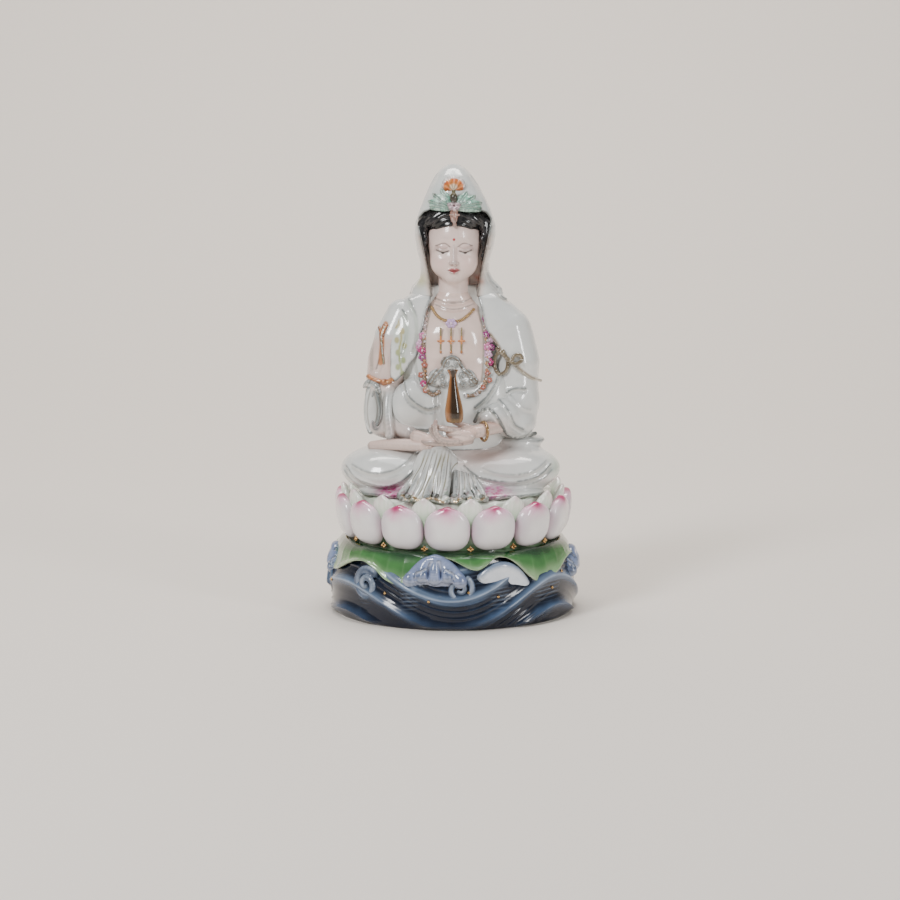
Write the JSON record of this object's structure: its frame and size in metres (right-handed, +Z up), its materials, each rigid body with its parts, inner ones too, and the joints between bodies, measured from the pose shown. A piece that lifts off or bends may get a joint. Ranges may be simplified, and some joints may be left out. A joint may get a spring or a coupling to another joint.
{
  "type": "porcelain figurine",
  "caption": "Seated robed figure with a hood and a small vase on a lotus throne, over a draped lotus leaf and a round base of curling sea waves; painted, glazed porcelain.",
  "frame": {"origin": "centre of the foot ring, on the plane the figurine stands on", "axes": "+Z up along the figure, -Y the way the figure faces, +X towards the figure's left hand"},
  "size_m": [0.2312, 0.2294, 0.409],
  "materials": {
    "white_glaze": "high-gloss white porcelain glaze",
    "skin_glaze": "satin to gloss flesh-tinted glaze",
    "petal_glaze": "gloss white glaze shading to magenta at the tips",
    "pale_green_glaze": "gloss pale green glaze",
    "leaf_glaze": "gloss green glaze fading to a white edge",
    "wave_glaze": "gloss navy to grey-blue glaze",
    "foam_glaze": "gloss pale blue glaze",
    "black_glaze": "gloss black glaze",
    "gold_lustre": "fired gold lustre, metallic",
    "crown_green_glaze": "gloss pale green glaze",
    "crown_orange_glaze": "gloss orange enamel",
    "garland_enamel": "gloss pink and purple enamel with gold",
    "pearl_grey_glaze": "gloss pearl-grey glaze with gold lines"
  },
  "bodies": {
    "root": {"wave_base": "wave_glaze", "lotus_leaf": "leaf_glaze", "crest_front_centre": "foam_glaze", "crest_front_right": "foam_glaze", "crest_front_left": "foam_glaze", "crest_left": "foam_glaze", "crest_right": "foam_glaze", "lotus_seat": "pale_green_glaze", "outer_petal_01": "petal_glaze", "outer_petal_02": "petal_glaze", "outer_petal_03": "petal_glaze", "outer_petal_04": "petal_glaze", "outer_petal_05": "petal_glaze", "outer_petal_06": "petal_glaze", "outer_petal_07": "petal_glaze", "outer_petal_08": "petal_glaze", "outer_petal_09": "petal_glaze", "outer_petal_10": "petal_glaze", "outer_petal_11": "petal_glaze", "outer_petal_12": "petal_glaze", "outer_petal_13": "petal_glaze", "outer_petal_14": "petal_glaze", "outer_petal_15": "petal_glaze", "inner_petal_01": "pale_green_glaze", "inner_petal_02": "pale_green_glaze", "inner_petal_03": "pale_green_glaze", "inner_petal_04": "pale_green_glaze", "inner_petal_05": "pale_green_glaze", "inner_petal_06": "pale_green_glaze", "inner_petal_07": "pale_green_glaze", "inner_petal_08": "pale_green_glaze", "inner_petal_09": "pale_green_glaze", "inner_petal_10": "pale_green_glaze", "inner_petal_11": "pale_green_glaze", "inner_petal_12": "pale_green_glaze", "inner_petal_13": "pale_green_glaze", "inner_petal_14": "pale_green_glaze", "inner_petal_15": "pale_green_glaze", "crossed_legs": "white_glaze", "lap_drapery": "white_glaze", "left_foot": "skin_glaze", "torso": "white_glaze", "mantle": "white_glaze", "left_sleeve": "white_glaze", "right_sleeve": "white_glaze", "left_hand": "skin_glaze", "right_hand": "skin_glaze", "vase": "gold_lustre", "clasp": "pearl_grey_glaze", "necklace": "gold_lustre", "garland_left": "garland_enamel", "garland_right": "garland_enamel", "head": "skin_glaze", "hair": "black_glaze", "veil": "white_glaze", "crown_leaves": "crown_green_glaze", "crown_halo": "crown_orange_glaze", "shoulder_bow": "gold_lustre", "bracelet": "gold_lustre", "armlet": "crown_orange_glaze"}
  },
  "joints": []
}
